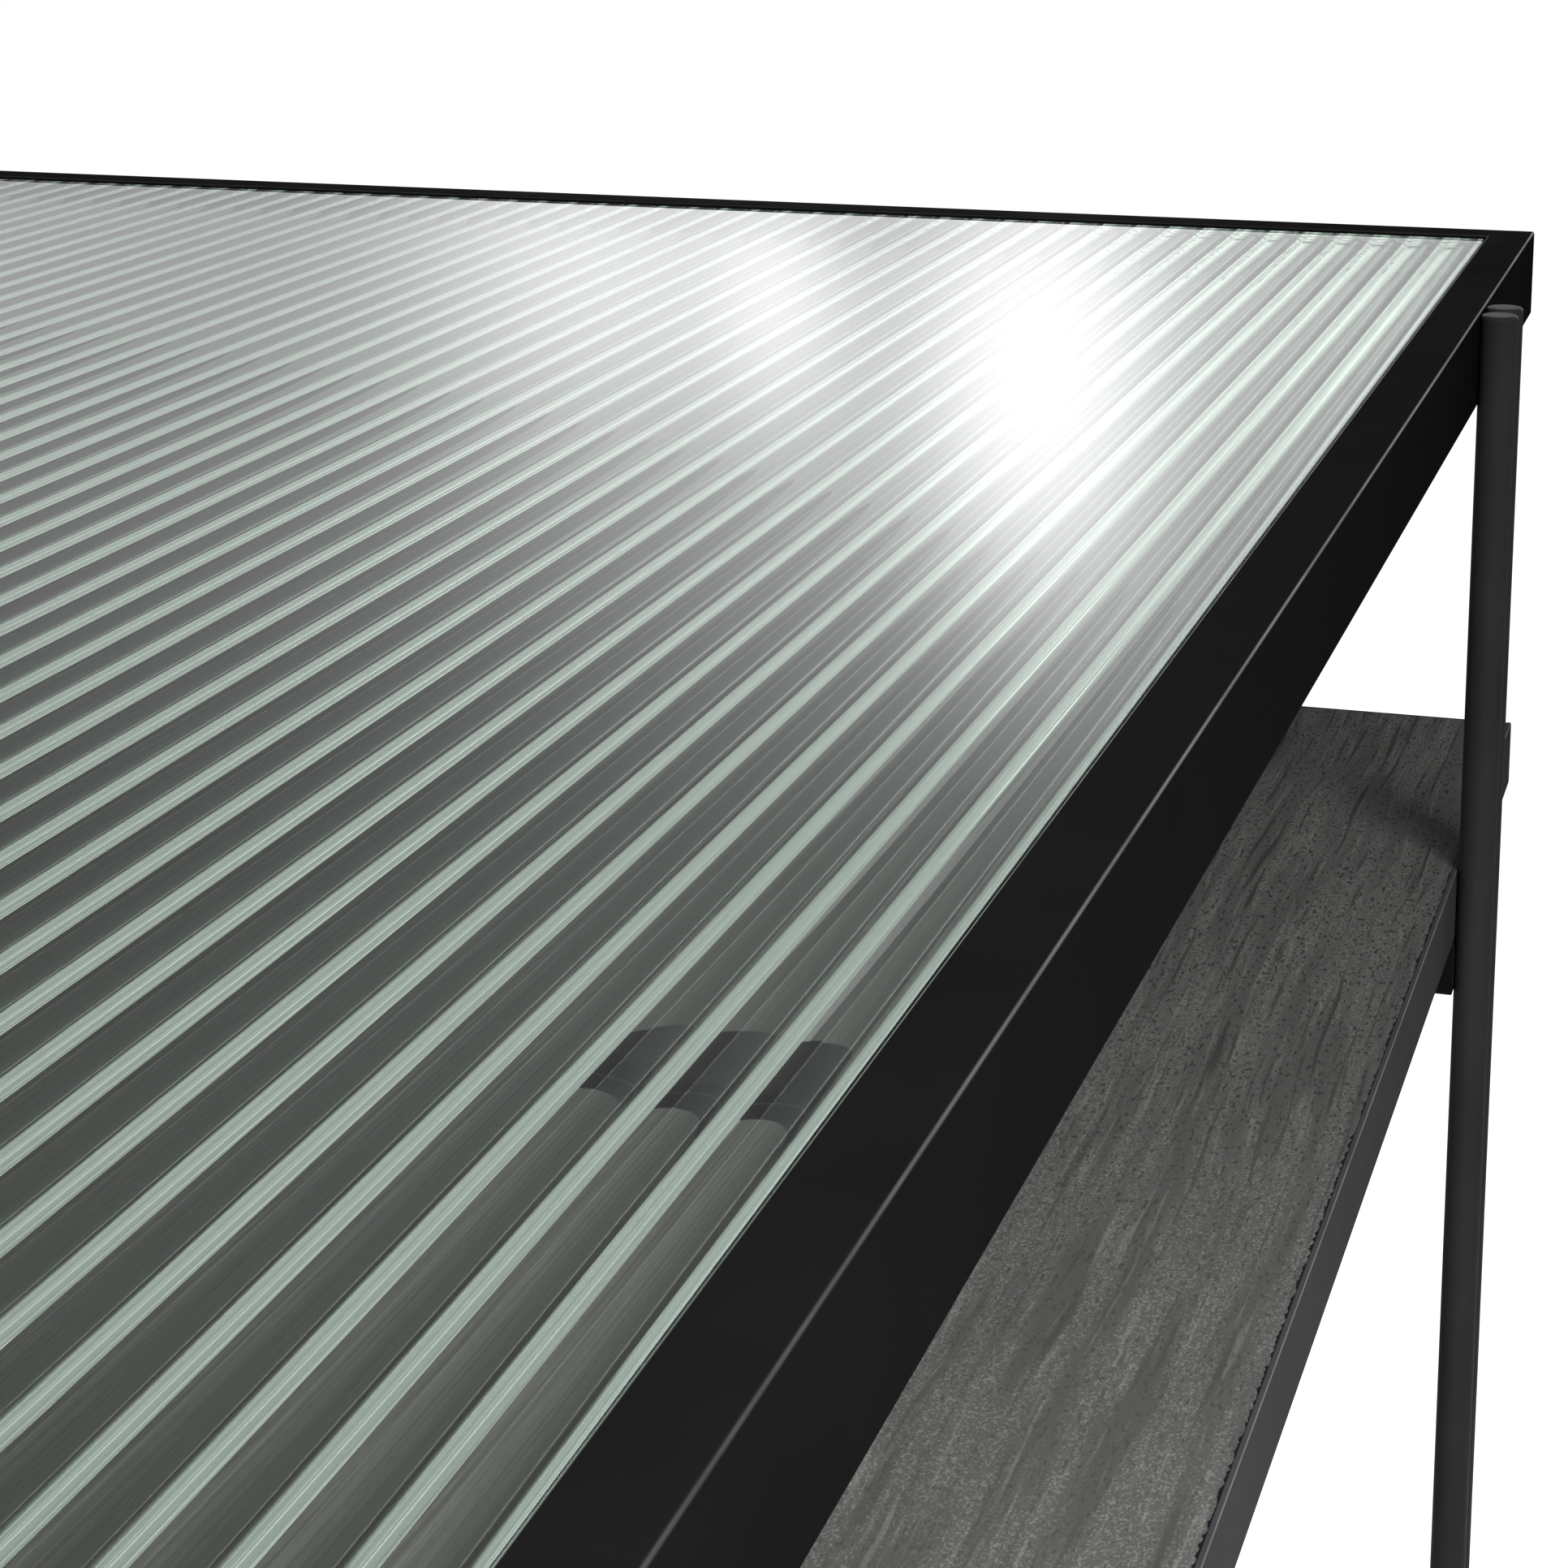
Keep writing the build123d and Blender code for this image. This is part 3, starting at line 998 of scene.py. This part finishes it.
@dataclass
class Legs:
    """The paired rods, their foot caps and the beads between them."""

    coat: Material
    plastic: Material
    weld: Material
    rod_segments: int = 64
    rod_top_radius: float = 1.0 * MM
    rod_top_segments: int = 6
    cap_segments: int = 56
    cap_floor: float = 3.0 * MM
    cap_wall: float = 1.1 * MM
    cap_edge: float = 0.8 * MM
    cap_edge_segments: int = 5
    cap_rim: float = 0.35 * MM
    cap_rim_segments: int = 3

    def build(self) -> None:
        """Builds every leg."""
        for end in End:
            for side in Side:
                corner = f"{side.name.lower()}_{end.name.lower()}"
                for place in Place:
                    self._rod(f"leg_rod_{corner}_{place.value}")
                    self._foot_cap(f"foot_cap_{corner}_{place.value}")
                for bead in ("rail_weld", "crossbar_weld"):
                    dress_node(f"{bead}_{corner}", self.weld)

    def _rod(self, node: str) -> None:
        """Builds one rod with its top edge rounded over.

        Args:
            node: Its node, whose box it fills.
        """
        low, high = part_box(node)
        radius = (high.x - low.x) / 2
        foot = Vector((low.x + radius, (low.y + high.y) / 2, low.z))
        bm = bmesh.new()
        stand_rod(bm, foot, radius, high.z - low.z, self.rod_segments)
        top = [e for e in bm.edges if all(v.co.z > high.z - TOUCHING for v in e.verts)]
        round_over(bm, top, self.rod_top_radius, self.rod_top_segments)
        finished(f"{node}_coated", bm, self.coat, Slot.POWDER_COAT, Body.TABLE, [node])

    def _foot_cap(self, node: str) -> None:
        """Builds the cup that a rod stands in, turned from half of its section.

        Args:
            node: Its node, whose box it fills.
        """
        low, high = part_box(node)
        centre = (low + high) / 2
        radius = (high.x - low.x) / 2
        bore = radius - self.cap_wall
        floor = low.z + self.cap_floor
        section = ((0, low.z), (radius, low.z), (radius, high.z), (bore, high.z), (bore, floor), (0, floor))
        bm = bmesh.new()
        points = [bm.verts.new((centre.x + r, centre.y, z)) for r, z in section]
        for a, b in zip(points, points[1:]):
            bm.edges.new((a, b))
        turn_fully(bm, centre, self.cap_segments)
        bmesh.ops.recalc_face_normals(bm, faces=bm.faces)
        hoops = [
            e
            for e in bm.edges
            if abs(e.verts[0].co.z - e.verts[1].co.z) < HAIR
            and all(abs((v.co.xy - centre.xy).length - radius) < TOUCHING for v in e.verts)
        ]
        bottom = [e for e in hoops if e.verts[0].co.z < floor]
        rim = [e for e in hoops if e.verts[0].co.z > floor]
        round_over(bm, bottom, self.cap_edge, self.cap_edge_segments)
        round_over(bm, [e for e in rim if e.is_valid], self.cap_rim, self.cap_rim_segments)
        finished(f"{node}_moulded", bm, self.plastic, Slot.PLASTIC, Body.TABLE, [node])


@dataclass
class Shelf:
    """The shelf board with its edge bands, the crossbars under it, their end inserts and the screws."""

    facing: Material
    band: Material
    coat: Material
    plastic: Material
    plating: Material
    band_arris: float = 0.4 * MM
    tube_edge: float = 0.8 * MM
    tube_wall: float = 1.2 * MM
    tube_mouth: float = 14.0 * MM
    insert_edge: float = 0.5 * MM
    small_segments: int = 3
    large_segments: int = 5
    head_segments: int = 36
    shank_segments: int = 24
    head_radius: float = 4.0 * MM
    head_height: float = 3.0 * MM
    head_edge: float = 1.0 * MM
    shank_radius: float = 2.0 * MM
    recess_radius: float = 2.1 * MM
    recess_depth: float = 1.6 * MM

    def build(self) -> None:
        """Builds every piece of the shelf."""
        dress_node("shelf_board", self.facing)
        for side in Side:
            self._band(f"shelf_edge_band_{side.name.lower()}", 1, side.value)
        for end in End:
            self._band(f"shelf_edge_band_{end.name.lower()}", 0, end.value)
            self._crossbar(f"shelf_crossbar_{end.name.lower()}")
            for side in Side:
                self._insert(f"crossbar_insert_{side.name.lower()}_{end.name.lower()}")
        self._screws()

    def _band(self, node: str, axis: int, sign: int) -> None:
        """Builds one edge band, its two outer arrises eased.

        Args:
            node: The band's node.
            axis: The axis across its thickness.
            sign: Which way its outer face looks along that axis.
        """
        low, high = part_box(node)
        outer = high[axis] if sign > 0 else low[axis]
        bm = bmesh.new()
        moved_box(bm, low, high)
        arrises = [
            e
            for e in bm.edges
            if along(e, 1 - axis) and all(abs(v.co[axis] - outer) < TOUCHING for v in e.verts)
        ]
        round_over(bm, arrises, self.band_arris, self.small_segments)
        finished(f"{node}_scraped", bm, self.band, Slot.EDGE_BAND, Body.TABLE, [node])

    def _crossbar(self, node: str) -> None:
        """Builds one crossbar: a tube with rounded edges, open at its ends.

        Args:
            node: Its node, whose box it fills.
        """
        low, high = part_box(node)
        bm = bmesh.new()
        moved_box(bm, low, high)
        round_over(bm, [e for e in bm.edges if along(e, 1)], self.tube_edge, self.large_segments)
        for face in [f for f in bm.faces if abs(f.normal.y) > SQUARE]:
            way = 1 if face.calc_center_median().y < 0 else -1
            sink(bm, face, self.tube_wall, (0, way * self.tube_mouth, 0))
        bmesh.ops.remove_doubles(bm, verts=bm.verts, dist=HAIR)
        bmesh.ops.recalc_face_normals(bm, faces=bm.faces)
        finished(f"{node}_coated", bm, self.coat, Slot.POWDER_COAT, Body.TABLE, [node])

    def _insert(self, node: str) -> None:
        """Builds the plug in one end of a crossbar, its edges rounded.

        Args:
            node: Its node, whose box it fills.
        """
        low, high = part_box(node)
        bm = bmesh.new()
        moved_box(bm, low, high)
        round_over(bm, list(bm.edges), self.insert_edge, self.small_segments)
        finished(f"{node}_moulded", bm, self.plastic, Slot.PLASTIC, Body.TABLE, [node])

    def _screws(self) -> None:
        """Builds the pan-head screws with a round recess, one at each place."""
        low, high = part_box("shelf_screws")
        bm = bmesh.new()
        stand_rod(bm, Vector((0, 0, low.z)), self.head_radius, self.head_height, self.head_segments)
        under = [e for e in bm.edges if all(v.co.z < low.z + TOUCHING for v in e.verts)]
        round_over(bm, under, self.head_edge, self.large_segments)
        level = [f for f in bm.faces if abs(f.normal.z) > SQUARE]
        face = min(level, key=lambda f: f.calc_center_median().z)
        wall = self.head_radius - self.head_edge - self.recess_radius
        sink(bm, face, wall, (0, 0, self.recess_depth))
        shoulder = low.z + self.head_height
        stand_rod(bm, Vector((0, 0, shoulder)), self.shank_radius, high.z - shoulder, self.shank_segments)
        bmesh.ops.recalc_face_normals(bm, faces=bm.faces)
        stand_at_corners(bm, high.x - self.head_radius, high.y - self.head_radius, 0.0)
        finished("shelf_screws_plated", bm, self.plating, Slot.SCREW, Body.TABLE, ["shelf_screws"])


# --- Studio ---


@dataclass(frozen=True)
class Window:
    """A soft bright patch in the studio's surround, by its direction and half size in degrees."""

    azimuth: float
    elevation: float
    half_width: float
    half_height: float
    strength: float


@dataclass(frozen=True)
class Softbox:
    """A square lamp."""

    name: str
    place: Sequence[float]
    target: Sequence[float]
    size: float
    power: float
    spread: float = 180.0


@dataclass
class Studio:
    """The pale floor, the soft surround, the lamps and the camera."""

    windows: Sequence[Window] = (
        Window(17.4, 9.7, 1.0, 1.7, 0.72),
        Window(12.9, 11.6, 1.6, 3.0, 1.6),
        Window(14.6, 11.7, 6.0, 4.0, 0.68),
        Window(20.6, 9.0, 2.4, 2.5, 0.75),
        Window(-18.0, 16.0, 9.0, 9.0, 1.1),
    )
    softboxes: Sequence[Softbox] = (
        Softbox("overhead", (-0.3, 0.9, 2.4), (0.0, 0.0, 0.3), 2.2, 6.0),
        Softbox("near_side", (-0.42, -0.78, 0.92), (-0.02, -0.3, 0.29), 0.6, 8.9, 90.0),
        Softbox("back_side", (0.5, 1.3, 0.8), (-0.1, 0.2, 0.35), 0.8, 12.0),
    )
    sky_low: float = 0.6
    sky_high: float = 0.19
    sky_fall: tuple[float, float] = (8.0, 19.0)
    sky_aside: float = 0.13
    sky_middle: float = 18.0
    sky_span: tuple[float, float] = (30.0, 60.0)
    inside_after: float = 2.5
    inside_low: float = 2.0
    inside_high: float = 0.43
    inside_fall: tuple[float, float] = (8.0, 15.5)
    inside_tint: Colour = (0.82, 0.96, 0.89, 1.0)
    floor_half: float = 6.0
    floor_shades: tuple[float, float] = (0.4, 0.44)
    floor_glow: float = 1.0
    bounces: int = 32
    lens: float = 79.347
    shift_y: float = -0.2
    eye: Sequence[float] = (-0.3782, -0.3928, 0.6072)
    yaw: float = 17.287
    pitch: float = -12.377
    roll: float = -0.19

    def build(self) -> None:
        """Builds the camera, the surround, the floor and the lamps."""
        self._camera()
        self._surround()
        self._floor()
        for softbox in self.softboxes:
            self._lamp(softbox)
        scene = bpy.context.scene
        scene.view_settings.view_transform = "Standard"
        for kind in ("max", "glossy", "transmission"):
            setattr(scene.cycles, f"{kind}_bounces", self.bounces)

    def _camera(self) -> None:
        """Builds the camera at its viewpoint and angle."""
        data = bpy.data.cameras.new("viewpoint")
        data.lens = self.lens
        data.sensor_width = 36.0
        data.shift_y = self.shift_y
        data.clip_start = 0.01
        camera = bpy.data.objects.new("viewpoint", data)
        bpy.context.scene.collection.objects.link(camera)
        yaw, pitch, roll = (math.radians(a) for a in (self.yaw, self.pitch, self.roll))
        look = Matrix.Rotation(yaw - math.pi / 2, 4, "Z") @ Matrix.Rotation(math.pi / 2 + pitch, 4, "X")
        camera.matrix_world = Matrix.Translation(self.eye) @ look @ Matrix.Rotation(roll, 4, "Z")
        bpy.context.scene.camera = camera

    def _surround(self) -> None:
        """Builds the surround: white behind the table, and around it a soft sky with bright windows."""
        world = bpy.data.worlds.new("studio")
        world.use_nodes = True
        world.cycles.sampling_method = "NONE"
        bpy.context.scene.world = world
        tree = world.node_tree
        tree.nodes.clear()
        parts = add_node(tree, "SeparateXYZ", {0: add_node(tree, "TexCoord").outputs["Generated"]}).outputs
        azimuth = calc(tree, "DEGREES", calc(tree, "ARCTAN2", parts[1], parts[0]))
        elevation = calc(tree, "DEGREES", calc(tree, "ARCSINE", parts[2]))
        level = ramp(tree, elevation, *self.sky_fall, self.sky_low, self.sky_high)
        off_middle = calc(tree, "ABSOLUTE", calc(tree, "SUBTRACT", azimuth, self.sky_middle))
        aside = ramp(tree, off_middle, *self.sky_span)
        sky = add_node(tree, "Mix", {0: aside, 2: level, 3: self.sky_aside}, data_type="FLOAT").outputs[0]
        for window in self.windows:
            sky = calc(tree, "ADD", sky, self._glow(tree, azimuth, elevation, window))
        path = add_node(tree, "LightPath").outputs
        # Rays that have been through the glass, and not those that a surface has scattered.
        far_in = calc(tree, "GREATER_THAN", path["Ray Depth"], self.inside_after)
        unscattered = calc(tree, "LESS_THAN", path["Diffuse Depth"], 0.5)
        deep = calc(tree, "MULTIPLY", far_in, unscattered)
        inside = ramp(tree, elevation, *self.inside_fall, self.inside_low, self.inside_high)
        sky = add_node(tree, "Mix", {0: deep, 2: sky, 3: inside}, data_type="FLOAT").outputs[0]
        hue = tint(tree, deep, grey(1.0), self.inside_tint)
        lighting = add_node(tree, "Background", {"Color": hue, "Strength": sky}).outputs[0]
        backdrop = add_node(tree, "Background", {"Color": grey(1.0), "Strength": 1.0}).outputs[0]
        mix = add_node(tree, "MixShader", {0: path["Is Camera Ray"], 1: lighting, 2: backdrop})
        add_node(tree, "OutputWorld", {"Surface": mix.outputs[0]})

    @staticmethod
    def _glow(
        tree: Tree,
        azimuth: Socket,
        elevation: Socket,
        window: Window,
    ) -> Socket:
        """Builds one window's brightness: a bell, at half strength at its half width and half height.

        Args:
            tree: The world's tree.
            azimuth: The direction's azimuth, in degrees.
            elevation: The direction's elevation, in degrees.
            window: The window.

        Returns:
            The brightness that it adds.
        """
        squares = []
        for value, centre, half in (
            (azimuth, window.azimuth, window.half_width),
            (elevation, window.elevation, window.half_height),
        ):
            off = calc(tree, "WRAP", calc(tree, "SUBTRACT", value, centre), 180.0, -180.0)
            share = calc(tree, "DIVIDE", off, half)
            squares.append(calc(tree, "MULTIPLY", share, share))
        bell = calc(tree, "POWER", 0.5, calc(tree, "ADD", *squares))
        return calc(tree, "MULTIPLY", bell, window.strength)

    def _floor(self) -> None:
        """Builds the plain pale floor, which glows a little where it is seen, as an overlit one does."""
        material, tree, shader, place = start_material("pale_floor")
        mottle = cloud(tree, place, (3.0, 3.0, 3.0), 3.0)
        darker, paler = (grey(shade) for shade in self.floor_shades)
        fill(tree, shader, {"Base Color": tint(tree, mottle, darker, paler)})
        fill(tree, shader, {"Roughness": 0.8, "Specular IOR Level": 0.1})
        seen = add_node(tree, "LightPath").outputs["Is Camera Ray"]
        strength = calc(tree, "MULTIPLY", seen, self.floor_glow)
        glow = add_node(tree, "Emission", {"Color": grey(1.0), "Strength": strength})
        both = add_node(tree, "AddShader", {0: shader.outputs[0], 1: glow.outputs[0]})
        resurface(tree, both.outputs[0])
        bm = bmesh.new()
        bmesh.ops.create_grid(bm, x_segments=1, y_segments=1, size=self.floor_half)
        mesh = bpy.data.meshes.new("floor")
        bm.to_mesh(mesh)
        bm.free()
        mesh.materials.append(material)
        floor = bpy.data.objects.new("floor", mesh)
        bpy.context.scene.collection.objects.link(floor)

    @staticmethod
    def _lamp(softbox: Softbox) -> None:
        """Builds one square softbox that looks at its target.

        Args:
            softbox: The softbox.
        """
        data = bpy.data.lights.new(softbox.name, "AREA")
        data.size = softbox.size
        data.energy = softbox.power
        data.spread = math.radians(softbox.spread)
        lamp = bpy.data.objects.new(softbox.name, data)
        lamp.visible_glossy = False
        lamp.visible_transmission = False
        bpy.context.scene.collection.objects.link(lamp)
        aim = Vector(softbox.target) - Vector(softbox.place)
        turned = aim.to_track_quat("-Z", "Y").to_matrix().to_4x4()
        lamp.matrix_world = Matrix.Translation(softbox.place) @ turned


# --- The whole ---


def build_table() -> None:
    """Builds every finish and then every sub-assembly."""
    effects = Effects()
    coat = Sprayed(
        "black_powder_coat",
        colour_a=grey(0.0038),
        colour_b=grey(0.0048),
        rough_a=0.36,
        rough_b=0.44,
        grit_scale=1100.0,
        grit_depth=0.012 * MM,
        specular=0.0005,
        # A faint painted highlight on the upper rounded edges of the rails, tabs and crossbars.
        rubbed=grey(0.02),
    ).build(effects)
    # The rods' copy of the frame's black powder coat, painted lighter so that the rods read brighter than
    # the rails: painted light.
    rod_coat_painted_lighter = Sprayed(
        "black_powder_coat_on_rods",
        colour_a=(0.0175, 0.0175, 0.0177, 1.0),
        colour_b=(0.0215, 0.0215, 0.0217, 1.0),
        rough_a=0.34,
        rough_b=0.42,
        grit_scale=1100.0,
        grit_depth=0.012 * MM,
        specular=0.12,
    ).build(effects)
    plastic = Sprayed(
        "black_moulded_plastic",
        colour_a=grey(0.013),
        colour_b=grey(0.017),
        rough_a=0.5,
        rough_b=0.62,
        grit_scale=2600.0,
        grit_depth=0.02 * MM,
        grit_sharpness=0.8,
        specular=0.35,
    ).build(effects)
    silicone = Sprayed(
        "black_silicone",
        colour_a=grey(0.02),
        colour_b=grey(0.03),
        rough_a=0.6,
        rough_b=0.75,
        grit_scale=1800.0,
        grit_depth=0.005 * MM,
        specular=0.02,
        drift_scale=160.0,
    ).build(effects)
    plating = Sprayed(
        "black_zinc",
        colour_a=grey(0.10),
        colour_b=grey(0.16),
        rough_a=0.28,
        rough_b=0.42,
        grit_scale=3200.0,
        grit_depth=0.006 * MM,
        metallic=1.0,
        drift_scale=400.0,
    ).build(effects)
    band = Sprayed(
        "charcoal_edge_band",
        colour_a=(0.030, 0.030, 0.032, 1.0),
        colour_b=(0.037, 0.037, 0.039, 1.0),
        rough_a=0.5,
        rough_b=0.6,
        grit_scale=1500.0,
        grit_depth=0.008 * MM,
        grit_sharpness=0.2,
        specular=0.03,
        drift_scale=30.0,
        # A painted highlight on the edge bands' upper arrises.
        rubbed=(0.10, 0.10, 0.098, 1.0),
        polish=0.5,
    ).build(effects)
    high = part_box("shelf_board")[1]
    facing = GrainedFacing(
        "charcoal_wood",
        light=(0.135, 0.134, 0.127, 1.0),
        dark=(0.052, 0.052, 0.050, 1.0),
        pore=(0.014, 0.014, 0.013, 1.0),
        depth=0.1 * MM,
        half_length=high.x,
        half_width=high.y,
    ).build(effects)
    glass = ReededGlass().build(effects)
    weld = WeldBead().build(effects)

    for assembly in (
        TopFrame(coat, plastic),
        GlassTop(glass),
        GlassSupports(coat, silicone),
        Legs(rod_coat_painted_lighter, plastic, weld),
        Shelf(facing, band, coat, plastic, plating),
    ):
        assembly.build()
        log.info("%s done", type(assembly).__name__)


def main() -> None:
    """Builds the studio and the table."""
    logging.basicConfig(level=logging.INFO, format="%(name)s: %(message)s")
    Studio().build()
    build_table()


if __name__ == "__main__":
    main()
